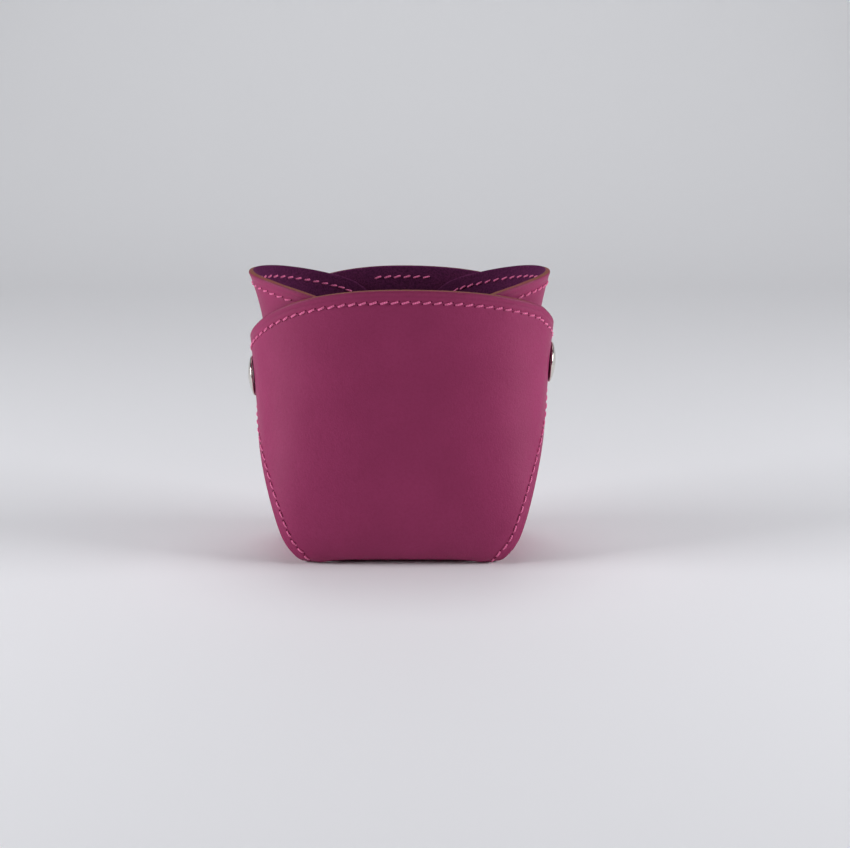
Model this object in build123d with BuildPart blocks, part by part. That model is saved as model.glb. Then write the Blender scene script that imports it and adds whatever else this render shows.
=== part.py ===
"""Leather pencil cup folded from one cross-shaped hide and held by a press stud on each side.

Frame: origin at the middle of the footprint, on the table. X to the right, Y to the back, Z up.
Plan sections are super-ellipses. Flaps are cut from lofted walls by prisms square to a corner,
so a flap's outline is drawn in "across, height" of the plane that faces that corner.
"""
from build123d import *
import math
import os

# Hide
LEATHER = 1.8
CREASE_ROUND = 1.4
LAYER_GAP = 0.2

# Outside of the side flaps: size at the table, swell above the creases, flare at the rim
FOOT_HALF_WIDTH = 33.0
FOOT_HALF_DEPTH = 20.2
SWELL_WIDTH = 7.9
SWELL_DEPTH = 5.0
SWELL_WIDTH_HEIGHT = 9.0
SWELL_DEPTH_HEIGHT = 14.0
FLARE_WIDTH = 5.2
FLARE_DEPTH = 4.3
FLARE_HEIGHT = 89.0
FLARE_WIDTH_POWER = 5
FLARE_DEPTH_POWER = 2
RIM_SQUARENESS = 2.05
FOOT_SQUARENESS = 5.2
SQUARENESS_HEIGHT = 25.0

# Flap outlines
FRONT_HEIGHT = 87.0
BACK_HEIGHT = 85.0
SIDE_HEIGHT = 88.8
FRONT_ROOT_HALF_WIDTH = 33.0
BASE_TONGUE_HALF_WIDTH = 26.5
SIDE_ROOT_HALF_DEPTH = 17.0
TIP_RADIUS = 11.6
TIP_REACH = 10.4
TIP_TOP_ANGLE = 66.0
TIP_BOTTOM_ANGLE = -62.0
EDGE_RADIUS = 80.0
SHOULDER_ACROSS = 20.0
SHOULDER_RISE = 20.0
SIDE_END = 10.0
SIDE_TOP_DROP = 6.0
SIDE_END_HEIGHT = 50.0
SIDE_CORNER_RADIUS = 12.0

# Wings of the front flap, which peel off the press studs about the corner lines
WING_SPLIT = 19.0
WING_GAP = 0.4

# Press studs
LEFT_SNAP_HEIGHT = 55.0
RIGHT_SNAP_HEIGHT = 59.4
CAP_RADIUS = 6.3
CAP_HEIGHT = 2.4
CAP_RIM = 0.6
CAP_WALL = 0.5
CAP_LIFT = 0.1
CAP_POST_RADIUS = 1.6
SOCKET_SUNK = 0.9
SOCKET_PLATE = 0.3
SOCKET_WALL = 1.6
SPRING_WIRE = 0.5
SPRING_PLAY = 0.1
SPRING_ARC = 300.0
STUD_RADIUS = 2.2
STUD_TAPER = 0.5
STUD_WALL = 0.6
STUD_CROWN = 0.3
STUD_PLAY = 0.4
FLANGE_RADIUS = 4.6
FLANGE = 0.5
SNAP_CLEARANCE = 0.5
FIT = 0.05

# Saddle stitches along every free edge
STITCH_PITCH = 3.87
STITCH_LENGTH = 3.1
STITCH_INSET = 3.6
STITCH_SLANT = 14.0
THREAD = 0.9
THREAD_RISE = 0.45
THREAD_SUNK = 0.1

# Resolution of the walls and seams
SECTION_STEPS = 6
WRAP_STEPS = 2
WALL_STATIONS = 6
STATION_POWER = 1.5
EDGE_SAMPLES = 400
BISECTIONS = 50
MARGIN = 6.0

# Press stud sizes that follow from the fits
SOCKET_MOUTH_RADIUS = STUD_RADIUS + STUD_PLAY
SPRING_RADIUS = SOCKET_MOUTH_RADIUS + SPRING_PLAY + SPRING_WIRE / 2
SOCKET_CAVITY_RADIUS = SPRING_RADIUS + SPRING_WIRE / 2 + SPRING_PLAY
SOCKET_RADIUS = SOCKET_CAVITY_RADIUS + SOCKET_WALL
SOCKET_HEIGHT = 2 * SOCKET_PLATE + SPRING_WIRE + 2 * SPRING_PLAY
STUD_TIP_RADIUS = STUD_RADIUS - STUD_TAPER
STUD_BORE_RADIUS = STUD_TIP_RADIUS - STUD_WALL
SNAP_GAP = SOCKET_HEIGHT - SOCKET_SUNK + SNAP_CLEARANCE

# Depths along a press stud's axis, from the outside of the wing
SOCKET_TOP = SOCKET_SUNK - LEATHER
SOCKET_END = SOCKET_TOP - SOCKET_HEIGHT
CAP_POST_END = SOCKET_TOP - SOCKET_PLATE + FIT
BACK_FACE = -LEATHER - SNAP_GAP
STUD_TOP = BACK_FACE - FIT
STUD_SEAT = STUD_TOP - FLANGE
STUD_TIP = CAP_POST_END - SNAP_CLEARANCE
STUD_BORE_END = STUD_TIP - STUD_CROWN
POST_END = BACK_FACE - LEATHER + FIT
POST_SEAT = POST_END + FLANGE

# Layers of hide, as the growth of half width and half depth
LAYER = LEATHER + LAYER_GAP
SIDE_LAYER = (0.0, 0.0)
BACK_LAYER = (LAYER, LAYER)
FRONT_LAYER = (LAYER + LEATHER + SNAP_GAP, LAYER)
WALL_TOP = max(FRONT_HEIGHT, BACK_HEIGHT, SIDE_HEIGHT) + MARGIN
BASE_LAYER = (-LAYER, -LAYER)
BASE_TONGUE_LAYER = (-LAYER, 0.0)
ROOT_TWO = math.sqrt(2)
REACH = 2 * (FOOT_HALF_WIDTH + SWELL_WIDTH + FLARE_WIDTH)
CORNER = Plane(origin=(0, 0, 0), x_dir=(1, 1, 0), z_dir=(1, -1, 0))


def swell(height, size, rate):
    """Rise from 0 at the table towards size, most of it within a few times rate."""
    return size * (1 - math.exp(-height / rate))


def half_width(height, layer):
    """Half width of a layer's outside at a height."""
    flare = FLARE_WIDTH * (height / FLARE_HEIGHT) ** FLARE_WIDTH_POWER
    return FOOT_HALF_WIDTH + swell(height, SWELL_WIDTH, SWELL_WIDTH_HEIGHT) + flare + layer[0]


def half_depth(height, layer):
    """Half depth of a layer's outside at a height."""
    flare = FLARE_DEPTH * (height / FLARE_HEIGHT) ** FLARE_DEPTH_POWER
    return FOOT_HALF_DEPTH + swell(height, SWELL_DEPTH, SWELL_DEPTH_HEIGHT) + flare + layer[1]


def squareness(height):
    """Power of the plan's super-ellipse: boxy at the foot, oval at the rim."""
    return RIM_SQUARENESS + (FOOT_SQUARENESS - RIM_SQUARENESS) * math.exp(-height / SQUARENESS_HEIGHT)


def plan_point(angle, height, layer):
    """Plan of a layer's outside at an angle: x = a |cos|^(2/n), y = b |sin|^(2/n)."""
    power = 2 / squareness(height)
    cosine = math.cos(angle)
    sine = math.sin(angle)
    x = math.copysign(abs(cosine) ** power, cosine) * half_width(height, layer)
    y = math.copysign(abs(sine) ** power, sine) * half_depth(height, layer)
    return (x, y)


def opposite(value, own_half, other_half, height):
    """Other plan coordinate where one is known: other half size times (1 - (v / own)^n)^(1/n)."""
    power = squareness(height)
    return other_half * (1 - (value / own_half) ** power) ** (1 / power)


def normal_at(point, layer):
    """Outward normal of a layer's outside, from the plan's gradient and the wall's slope."""
    power = squareness(point.Z) - 1
    a = half_width(point.Z, layer)
    b = half_depth(point.Z, layer)
    gx = math.copysign((abs(point.X) / a) ** power / a, point.X)
    gy = math.copysign((abs(point.Y) / b) ** power / b, point.Y)
    rise_width = half_width(point.Z + 0.5, layer) - half_width(point.Z - 0.5, layer)
    rise_depth = half_depth(point.Z + 0.5, layer) - half_depth(point.Z - 0.5, layer)
    gz = -abs(gx * point.X) * rise_width / a - abs(gy * point.Y) * rise_depth / b
    return Vector(gx, gy, gz).normalized()


def corner_point(across, height, layer):
    """Point of a layer's outside, at the front right corner, that lies across in the corner plane."""
    low = -0.75 * math.pi
    high = 0.25 * math.pi
    for _ in range(BISECTIONS):
        middle = (low + high) / 2
        if sum(plan_point(middle, height, layer)) < across * ROOT_TWO:
            low = middle
        else:
            high = middle
    return Vector(*plan_point((low + high) / 2, height, layer), height)


def wall(layer, middle_angle):
    """Band of hide facing middle_angle: a loft through strips of a layer's plan, one leather thick."""
    step = math.pi / 2 / SECTION_STEPS
    steps = range(-SECTION_STEPS - WRAP_STEPS, SECTION_STEPS + WRAP_STEPS + 1)
    angles = [middle_angle + step * k for k in steps]
    inner_layer = (layer[0] - LEATHER, layer[1] - LEATHER)
    with BuildPart() as band:
        for k in range(WALL_STATIONS + 1):
            height = WALL_TOP * (k / WALL_STATIONS) ** STATION_POWER
            with BuildSketch(Plane.XY.offset(height)):
                with BuildLine():
                    outside = Spline(*[plan_point(angle, height, layer) for angle in angles])
                    inside = Spline(*[plan_point(angle, height, inner_layer) for angle in angles])
                    Line(outside @ 0, inside @ 0)
                    Line(outside @ 1, inside @ 1)
                make_face()
        loft()
    return band.part


def wing_edge(layer, top_height, snap_height):
    """Free edge of half a front flap in the corner plane: top arc, shoulder, round tip, hollow lower edge."""
    tip = (half_width(snap_height, layer) / ROOT_TWO, snap_height)
    crown = (-half_depth(top_height, layer) / ROOT_TWO, top_height)
    root_depth = opposite(FRONT_ROOT_HALF_WIDTH, half_width(0, layer), half_depth(0, layer), 0)
    root = ((FRONT_ROOT_HALF_WIDTH - root_depth) / ROOT_TWO, 0)
    end = EllipticalCenterArc(
        tip,
        TIP_REACH / ROOT_TWO,
        TIP_RADIUS,
        start_angle=TIP_TOP_ANGLE,
        arc_size=TIP_BOTTOM_ANGLE - TIP_TOP_ANGLE,
        mode=Mode.PRIVATE,
    )
    with BuildLine() as edge:
        top = TangentArc(crown, (SHOULDER_ACROSS, snap_height + SHOULDER_RISE), tangent=(1, 0))
        Line(top @ 1, end @ 0)
        add(end)
        RadiusArc(end @ 1, root, -EDGE_RADIUS)
    return edge.wire()


def side_edge():
    """Free edge of half a side flap in the corner plane: top arc, round corner, slanting lower edge."""
    crown = (half_width(SIDE_HEIGHT, SIDE_LAYER) / ROOT_TWO, SIDE_HEIGHT)
    end = (SIDE_END - half_depth(SIDE_HEIGHT, SIDE_LAYER)) / ROOT_TWO
    root_width = opposite(SIDE_ROOT_HALF_DEPTH, half_depth(0, SIDE_LAYER), FOOT_HALF_WIDTH, 0)
    root = ((root_width - SIDE_ROOT_HALF_DEPTH) / ROOT_TWO, 0)
    with BuildLine() as edge:
        top = TangentArc(crown, (end, SIDE_HEIGHT - SIDE_TOP_DROP), tangent=(-1, 0))
        Polyline(top @ 1, (end, SIDE_END_HEIGHT), root)
        corners = edge.vertices().filter_by(lambda v: abs(v.X - end) < FIT)
        fillet(corners, SIDE_CORNER_RADIUS)
    return edge.wire()


def wedge(edge, far_across, keep_plane):
    """Prism, square to the front right corner, on the far_across side of a free edge."""
    crown = edge @ 0
    root = edge @ 1
    with BuildPart() as prism:
        with BuildSketch(CORNER):
            with BuildLine():
                add(edge)
                Polyline(root, (root.X, -MARGIN), (far_across, -MARGIN), (far_across, crown.Y), crown)
            make_face()
        extrude(amount=REACH)
        split(bisect_by=keep_plane, keep=Keep.TOP)
    return prism.part


def stitch_planes(edge, layer, turn):
    """Planes on the leather, x along the seam, one to a stitch, a fixed inset from a free edge."""
    samples = []
    for k in range(EDGE_SAMPLES + 1):
        local = edge.position_at(k / EDGE_SAMPLES)
        samples.append(corner_point(local.X, local.Y, layer))
    planes = []
    travelled = 0
    wanted = STITCH_PITCH / 2
    for start, end in zip(samples, samples[1:]):
        travelled += (end - start).length
        if travelled < wanted or end.Z < STITCH_INSET:
            continue
        wanted += STITCH_PITCH
        along = (end - start).normalized()
        inward = normal_at(end, layer).cross(along) * turn
        spot = end + inward * STITCH_INSET
        seat = corner_point((spot.X + spot.Y) / ROOT_TWO, spot.Z, layer)
        out = normal_at(seat, layer)
        planes.append(Plane(origin=seat - out * THREAD_SUNK, x_dir=along, z_dir=out))
    return planes


def across_of(plane):
    """Where a plane's origin lies across the corner plane."""
    return (plane.origin.X + plane.origin.Y) / ROOT_TWO


def thread(planes):
    """One slanted stitch on each plane."""
    with BuildPart() as seam:
        with BuildSketch(*planes):
            SlotOverall(STITCH_LENGTH, THREAD, rotation=STITCH_SLANT)
        extrude(amount=THREAD_RISE)
    return seam.part


def snap_seat(side, height):
    """Plane on the outside of a wing, at the middle of its side, facing outwards."""
    point = Vector(side * half_width(height, FRONT_LAYER), 0, height)
    return Plane(origin=point, x_dir=(0, 1, 0), z_dir=normal_at(point, FRONT_LAYER))


def snap_profile(seat):
    """Plane through a press stud's axis: x is the radius and y runs outwards along the axis."""
    return Plane(origin=seat.origin, x_dir=seat.x_dir, z_dir=seat.x_dir.cross(seat.z_dir))


def snap_axis(seat):
    """Axis of a press stud."""
    return Axis(seat.origin, seat.z_dir)


def flap(band, first_cut, second_cut):
    """Hide left of a wall inside two prisms, with its crease rounded along the table."""
    with BuildPart() as cut:
        add(first_cut)
        add(second_cut)
    with BuildPart() as piece:
        add(band)
        add(cut.part, mode=Mode.INTERSECT)
        foot = piece.faces().sort_by(Axis.Z)[0]
        outside = foot.edges().filter_by(GeomType.LINE, reverse=True).sort_by(SortBy.LENGTH)[-1]
        fillet(outside, CREASE_ROUND)
    return piece.part


def split_plane(side, shift):
    """Upright plane across the front flap at a wing's corner line, facing the wing."""
    out = Vector(side, 1, 0).normalized()
    return Plane(origin=out * (WING_SPLIT + shift), z_dir=out)


def mirrored(planes, x_sign, y_sign):
    """Stitch planes carried to another corner of the cup."""
    carried = []
    for plane in planes:
        vectors = []
        for vector in (plane.origin, plane.x_dir, plane.z_dir):
            vectors.append(Vector(vector.X * x_sign, vector.Y * y_sign, vector.Z))
        carried.append(Plane(origin=vectors[0], x_dir=vectors[1], z_dir=vectors[2]))
    return carried


def uncovered(planes, cover):
    """Stitch planes whose stitch lies clear of a covering prism."""
    shown = []
    for plane in planes:
        ends = [plane.origin + plane.x_dir * (STITCH_LENGTH * share) for share in (-0.8, 0, 0.8)]
        if not any(cover.is_inside(end) for end in ends):
            shown.append(plane)
    return shown


os.makedirs("parts", exist_ok=True)

# Outlines, prisms and seats that several pieces share
front_limit = -half_depth(WALL_TOP, FRONT_LAYER) / ROOT_TWO - MARGIN
side_limit = half_width(WALL_TOP, FRONT_LAYER) / ROOT_TWO + MARGIN
front_half = Plane(origin=(0, 0, 0), x_dir=(1, 0, 0), z_dir=(0, -1, 0))
right_edge = wing_edge(FRONT_LAYER, FRONT_HEIGHT, RIGHT_SNAP_HEIGHT)
left_edge = wing_edge(FRONT_LAYER, FRONT_HEIGHT, LEFT_SNAP_HEIGHT)
back_right_edge = wing_edge(BACK_LAYER, BACK_HEIGHT, RIGHT_SNAP_HEIGHT)
back_left_edge = wing_edge(BACK_LAYER, BACK_HEIGHT, LEFT_SNAP_HEIGHT)
plain_edge = side_edge()
right_cut = wedge(right_edge, front_limit, Plane.YZ)
left_cut = wedge(left_edge, front_limit, Plane.YZ)
back_right_cut = wedge(back_right_edge, front_limit, Plane.YZ)
back_left_cut = wedge(back_left_edge, front_limit, Plane.YZ)
side_cut = wedge(plain_edge, side_limit, front_half)
left_seat = snap_seat(-1, LEFT_SNAP_HEIGHT)
right_seat = snap_seat(1, RIGHT_SNAP_HEIGHT)
seats = {"left": left_seat, "right": right_seat}
sides = {"left": -1, "right": 1}

# Base panel, inside the feet of the side flaps, with a tongue to the feet of the front and back flaps
turns = [math.pi / 2 * k / SECTION_STEPS for k in range(4 * SECTION_STEPS)]
with BuildPart() as base_panel:
    with BuildSketch():
        with BuildLine():
            Spline(*[plan_point(turn, 0, BASE_TONGUE_LAYER) for turn in turns], periodic=True)
        make_face()
        Rectangle(2 * BASE_TONGUE_HALF_WIDTH, REACH, mode=Mode.INTERSECT)
        with BuildLine():
            Spline(*[plan_point(turn, 0, BASE_LAYER) for turn in turns], periodic=True)
        make_face()
    extrude(amount=LEATHER)
base_panel.part.label = "base_panel"
export_step(base_panel.part, "parts/base_panel.step")

# Side flaps, innermost
right_flap = flap(wall(SIDE_LAYER, 0), side_cut, mirror(side_cut, about=Plane.XZ))
for side, sign in sides.items():
    with BuildPart() as side_panel:
        add(right_flap if sign > 0 else mirror(right_flap, about=Plane.YZ))
    side_panel.part.label = f"{side}_panel"
    export_step(side_panel.part, f"parts/{side}_panel.step")

# Back flap, whose wings carry the studs under the front flap's wings
back_flap = flap(
    wall(BACK_LAYER, math.pi / 2),
    mirror(back_right_cut, about=Plane.XZ),
    mirror(mirror(back_left_cut, about=Plane.XZ), about=Plane.YZ),
)
with BuildPart() as back_panel:
    add(back_flap)
    for seat in seats.values():
        with BuildSketch(seat.offset(STUD_SEAT)):
            Circle(FLANGE_RADIUS + FIT)
        extrude(amount=FLANGE + SNAP_GAP, mode=Mode.SUBTRACT)
        with BuildSketch(seat.offset(POST_SEAT)):
            Circle(FLANGE_RADIUS + FIT)
        extrude(amount=-FLANGE - LAYER_GAP, mode=Mode.SUBTRACT)
        with BuildSketch(seat.offset(STUD_SEAT)):
            Circle(STUD_BORE_RADIUS)
        extrude(amount=-LEATHER, mode=Mode.SUBTRACT)
back_panel.part.label = "back_panel"
export_step(back_panel.part, "parts/back_panel.step")

# Front flap: the panel between the corner lines, then the two wings that peel off the studs
front_flap = flap(wall(FRONT_LAYER, -math.pi / 2), right_cut, mirror(left_cut, about=Plane.YZ))
with BuildPart() as front_panel:
    add(front_flap)
    for sign in sides.values():
        split(bisect_by=split_plane(sign, -WING_GAP / 2), keep=Keep.BOTTOM)
front_panel.part.label = "front_panel"
export_step(front_panel.part, "parts/front_panel.step")

for side, sign in sides.items():
    with BuildPart() as wing:
        add(front_flap)
        split(bisect_by=split_plane(sign, WING_GAP / 2), keep=Keep.TOP)
        with BuildSketch(seats[side].offset(CAP_HEIGHT)):
            Circle(CAP_POST_RADIUS + FIT)
        extrude(amount=-CAP_HEIGHT - 2 * LEATHER, mode=Mode.SUBTRACT)
        with BuildSketch(seats[side].offset(SOCKET_TOP)):
            Circle(SOCKET_RADIUS + FIT)
        extrude(amount=-LEATHER, mode=Mode.SUBTRACT)
    wing.part.label = f"{side}_wing"
    export_step(wing.part, f"parts/{side}_wing.step")

# Press studs: cap, socket and spring on the wing, stud and post on the back flap
for side, seat in seats.items():
    with BuildPart() as cap:
        with BuildSketch(snap_profile(seat)):
            with BuildLine():
                TangentArc((0, CAP_HEIGHT), (CAP_RADIUS, CAP_RIM), tangent=(1, 0))
                Polyline(
                    (CAP_RADIUS, CAP_RIM),
                    (CAP_RADIUS, CAP_LIFT),
                    (CAP_RADIUS - CAP_WALL, CAP_LIFT),
                    (CAP_RADIUS - CAP_WALL, CAP_RIM),
                    (CAP_POST_RADIUS, CAP_HEIGHT - 2 * CAP_WALL),
                    (CAP_POST_RADIUS, CAP_POST_END),
                    (0, CAP_POST_END),
                    (0, CAP_HEIGHT),
                )
            make_face()
        revolve(axis=snap_axis(seat))
    cap.part.label = f"{side}_cap"
    export_step(cap.part, f"parts/{side}_cap.step")

    with BuildPart() as socket:
        with BuildSketch(snap_profile(seat)):
            with BuildLine():
                Polyline(
                    (CAP_POST_RADIUS + FIT, SOCKET_TOP),
                    (SOCKET_RADIUS, SOCKET_TOP),
                    (SOCKET_RADIUS, SOCKET_END),
                    (SOCKET_MOUTH_RADIUS, SOCKET_END),
                    (SOCKET_MOUTH_RADIUS, SOCKET_END + SOCKET_PLATE),
                    (SOCKET_CAVITY_RADIUS, SOCKET_END + SOCKET_PLATE),
                    (SOCKET_CAVITY_RADIUS, SOCKET_TOP - SOCKET_PLATE),
                    (CAP_POST_RADIUS + FIT, SOCKET_TOP - SOCKET_PLATE),
                    close=True,
                )
            make_face()
        revolve(axis=snap_axis(seat))
    socket.part.label = f"{side}_socket"
    export_step(socket.part, f"parts/{side}_socket.step")

    with BuildPart() as spring:
        with BuildSketch(snap_profile(seat)):
            with Locations((SPRING_RADIUS, (SOCKET_TOP + SOCKET_END) / 2)):
                Circle(SPRING_WIRE / 2)
        revolve(axis=snap_axis(seat), revolution_arc=SPRING_ARC)
    spring.part.label = f"{side}_spring"
    export_step(spring.part, f"parts/{side}_spring.step")

    with BuildPart() as stud:
        with BuildSketch(snap_profile(seat)):
            with BuildLine():
                Polyline(
                    (0, STUD_TIP),
                    (STUD_TIP_RADIUS, STUD_TIP),
                    (STUD_RADIUS, STUD_TOP),
                    (FLANGE_RADIUS, STUD_TOP),
                    (FLANGE_RADIUS, STUD_SEAT),
                    (STUD_BORE_RADIUS, STUD_SEAT),
                    (STUD_BORE_RADIUS, STUD_BORE_END),
                    (0, STUD_BORE_END),
                    close=True,
                )
            make_face()
        revolve(axis=snap_axis(seat))
    stud.part.label = f"{side}_stud"
    export_step(stud.part, f"parts/{side}_stud.step")

    with BuildPart() as post:
        with BuildSketch(seat.offset(POST_END)):
            Circle(FLANGE_RADIUS)
        extrude(amount=FLANGE)
        with BuildSketch(seat.offset(POST_SEAT)):
            Circle(STUD_BORE_RADIUS - FIT)
        extrude(amount=STUD_BORE_END - FIT - POST_SEAT)
    post.part.label = f"{side}_post"
    export_step(post.part, f"parts/{side}_post.step")

# Stitching: each seam is a group of separate stitches on its own piece of hide
stitch_room = STITCH_LENGTH / 2 + WING_GAP
seam_planes = {
    "right": stitch_planes(right_edge, FRONT_LAYER, -1),
    "left": stitch_planes(left_edge, FRONT_LAYER, -1),
}
middle_planes = []
for side, sign in sides.items():
    wing_planes = [plane for plane in seam_planes[side] if across_of(plane) > WING_SPLIT + stitch_room]
    fixed_planes = [plane for plane in seam_planes[side] if across_of(plane) < WING_SPLIT - stitch_room]
    middle_planes += mirrored(fixed_planes, sign, 1)
    wing_seam = thread(mirrored(wing_planes, sign, 1))
    with BuildPart() as wing_stitching:
        add(wing_seam)
    wing_stitching.part.label = f"{side}_wing_stitching"
    export_step(wing_stitching.part, f"parts/{side}_wing_stitching.step")

front_seam = thread(middle_planes)
with BuildPart() as front_stitching:
    add(front_seam)
front_stitching.part.label = "front_stitching"
export_step(front_stitching.part, "parts/front_stitching.step")

back_right_planes = mirrored(stitch_planes(back_right_edge, BACK_LAYER, -1), 1, -1)
back_left_planes = mirrored(stitch_planes(back_left_edge, BACK_LAYER, -1), -1, -1)
back_planes = uncovered(back_right_planes, right_cut)
back_planes += uncovered(back_left_planes, mirror(left_cut, about=Plane.YZ))
back_seam = thread(back_planes)
with BuildPart() as back_stitching:
    add(back_seam)
back_stitching.part.label = "back_stitching"
export_step(back_stitching.part, "parts/back_stitching.step")

side_planes = stitch_planes(plain_edge, SIDE_LAYER, 1)
covers = {
    ("left", 1): left_cut,
    ("left", -1): back_left_cut,
    ("right", 1): right_cut,
    ("right", -1): back_right_cut,
}
for side, sign in sides.items():
    shown_planes = []
    for y_sign in (1, -1):
        shown_planes += mirrored(uncovered(side_planes, covers[side, y_sign]), sign, y_sign)
    side_seam = thread(shown_planes)
    with BuildPart() as side_stitching:
        add(side_seam)
    side_stitching.part.label = f"{side}_stitching"
    export_step(side_stitching.part, f"parts/{side}_stitching.step")
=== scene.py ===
"""Looks of a leather pencil cup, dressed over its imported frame.

Lengths are millimetres, and become metres where a mesh is made. X is to the right, Y to the back and Z up.
The outsides of the hide are super-ellipses in plan. A flap's outline is drawn in "across, rise" at the front
right corner: across is (x + y) / root 2, and rise is the height, or the way left to the end of the fold.
"""
import math

import bpy
import numpy as np
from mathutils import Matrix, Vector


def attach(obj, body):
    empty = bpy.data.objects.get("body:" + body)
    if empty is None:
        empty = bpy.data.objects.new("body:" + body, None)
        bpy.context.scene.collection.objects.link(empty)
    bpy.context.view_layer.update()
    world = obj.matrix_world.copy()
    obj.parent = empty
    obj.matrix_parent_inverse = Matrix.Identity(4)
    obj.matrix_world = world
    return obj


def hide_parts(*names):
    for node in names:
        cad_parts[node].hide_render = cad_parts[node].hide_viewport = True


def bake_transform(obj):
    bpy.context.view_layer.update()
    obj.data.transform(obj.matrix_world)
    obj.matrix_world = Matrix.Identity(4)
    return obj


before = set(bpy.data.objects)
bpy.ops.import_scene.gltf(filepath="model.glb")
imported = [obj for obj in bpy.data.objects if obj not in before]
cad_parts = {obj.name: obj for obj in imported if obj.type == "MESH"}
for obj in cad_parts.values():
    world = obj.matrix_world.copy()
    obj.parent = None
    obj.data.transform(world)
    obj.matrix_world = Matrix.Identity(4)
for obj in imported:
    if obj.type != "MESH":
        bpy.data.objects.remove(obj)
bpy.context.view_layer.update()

MM = 0.001
ROOT_TWO = math.sqrt(2)

# Hide
LEATHER = 1.8
LAYER = 2.0
SIDE_LAYER = (0.0, 0.0)
BACK_LAYER = (LAYER, LAYER)
FRONT_LAYER = (4.7, LAYER)
FOOT_HALF_WIDTH = 31.9
FOOT_HALF_DEPTH = 20.4
SWELL_WIDTH = 8.3
SWELL_DEPTH = 4.8
SWELL_WIDTH_HEIGHT = 9.0
SWELL_DEPTH_HEIGHT = 8.0
FLARE_WIDTH = 5.2
FLARE_DEPTH = 4.3
FLARE_HEIGHT = 89.0
FLARE_WIDTH_POWER = 5
FLARE_DEPTH_POWER = 2
STEP_WIDTH = 0.7
STEP_HEIGHT = 50.0
STEP_RATE = 4.0
RIM_SQUARENESS = 2.05
FOOT_SQUARENESS = 5.2
SQUARENESS_HEIGHT = 25.0
FOLD = 2.6
FOOT_ARCH = 1.1
FOOT_ARCH_HALF_WIDTH = 24.5
FOOT_ARCH_RISE = 16.0
ARRIS = 0.45
BISECTIONS = 46

# Flap outlines
FRONT_HEIGHT = 87.0
BACK_HEIGHT = 85.0
SIDE_HEIGHT = 88.3
FRONT_ROOT_HALF_WIDTH = 32.6
SIDE_ROOT_HALF_DEPTH = 17.0
TIP_RADIUS = 11.6
TIP_REACH = 10.4
TIP_TOP_ANGLE = 66.0
TIP_BOTTOM_ANGLE = -62.0
EDGE_RADII = {"left": 80.0, "right": 100.0}
FOOT_ROUND = 9.0
FOOT_ROUND_IN = 2.5
SHOULDER_ACROSS = 20.0
SHOULDER_RISE = 20.0
SIDE_END = 10.0
SIDE_TOP_DROP = 9.5
SIDE_END_HEIGHT = 50.0
SIDE_CORNER_RADIUS = 12.0
WING_ROOT_SHARE = 0.36
SIDE_ROOT_SHARE = 0.3
EDGE_SAMPLES = 900
SNAP_HEIGHTS = {"left": 55.0, "right": 59.4}
SIGNS = {"left": -1, "right": 1}

# Saddle stitches
STITCH_PITCH = 3.2
STITCH_LENGTH = 2.75
STITCH_INSET = 3.6
SLANT_LEVEL = math.radians(17)
SLANT_UPRIGHT = math.radians(5)
SEAM_SAMPLES = 1500
THREAD_HALF_WIDTH = 0.32
THREAD_HALF_HEIGHT = 0.26
THREAD_LIFT = 0.14
THREAD_DIVE = 0.5
THREAD_TIP = 0.12
THREAD_RINGS = 7
THREAD_SIDES = 8
PLY_PITCH = 1.3
HOLE_RADIUS = 0.23
HOLE_DEPTH = 0.3
HOLE_PLACE = STITCH_LENGTH / 2 + 0.05
CHANNEL_SUNK = 0.07
CHANNEL_HALF_WIDTH = 0.9
CREASE_INSET = 1.7
CREASE_SUNK = 0.05
CREASE_HALF_WIDTH = 0.5
INNER_SHOWN = 8.5
LAST_STITCH = 1.0
LAST_SIDE_STITCH = 9.0

# Lean of the side flaps' tops
TOP_LEAN = {"left": 1.3, "right": 0.3}
TOP_LEAN_START = 68.0
TOP_LEAN_HALF_DEPTH = 24.0

# Press studs, and the base
FLANGE_RADIUS = 4.6
HOLLOW_DEPTH = 0.6
HOLLOW_EDGE = 1.5
BASE_COLUMNS = 61
BASE_ROWS = 41
BASE_END = 0.985
FAR_FROM_RIM = 20.0

# Snap cap, as (radius, height) from the crown of its dome round the rolled rim to the middle underneath
DOME_TOP = 2.0
DOME_RADIUS = 15.4
DOME_REACH = 5.95
dome_radii = np.linspace(0, DOME_REACH, 14)
CAP_PROFILE = [(r, DOME_TOP - DOME_RADIUS + math.sqrt(DOME_RADIUS**2 - r**2)) for r in dome_radii]
CAP_PROFILE += [(6.14, 0.72), (6.25, 0.6), (6.3, 0.45), (6.27, 0.3), (6.17, 0.19), (6.0, 0.13)]
CAP_PROFILE += [(5.75, 0.15), (5.6, 0.3), (5.4, 0.6), (2.0, 0.9), (0.0, 0.9)]

# Stage, in metres
SWEEP_NEAR = -1.6
SWEEP_BEND = 0.5
SWEEP_WALL = 1.0
SWEEP_WALL_START = 0.6
SWEEP_TOP = 2.0
SWEEP_HALF_WIDTH = 2.2
SWEEP_COLUMNS = 30
LAMP_COLOUR = (0.95, 0.96, 1.0)
CAMERA_PLACE = (0.0074, -0.627, 0.187)
CAMERA_TILT = math.radians(90 - 13.25)
CAMERA_LENS = 86.6


def half_width(z, layer):
    """Half width at a height: foot + swell (1 - e^(-z / rate)) + flare (z / top)^5 + step + layer's growth.

    The step is s / (1 + e^((height - z) / rate)), where the wings begin to lie over each other.
    """
    swell = SWELL_WIDTH * (1 - np.exp(-z / SWELL_WIDTH_HEIGHT))
    flare = FLARE_WIDTH * (z / FLARE_HEIGHT) ** FLARE_WIDTH_POWER
    step = STEP_WIDTH / (1 + np.exp((STEP_HEIGHT - z) / STEP_RATE))
    return FOOT_HALF_WIDTH + swell + flare + step + layer[0]


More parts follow.
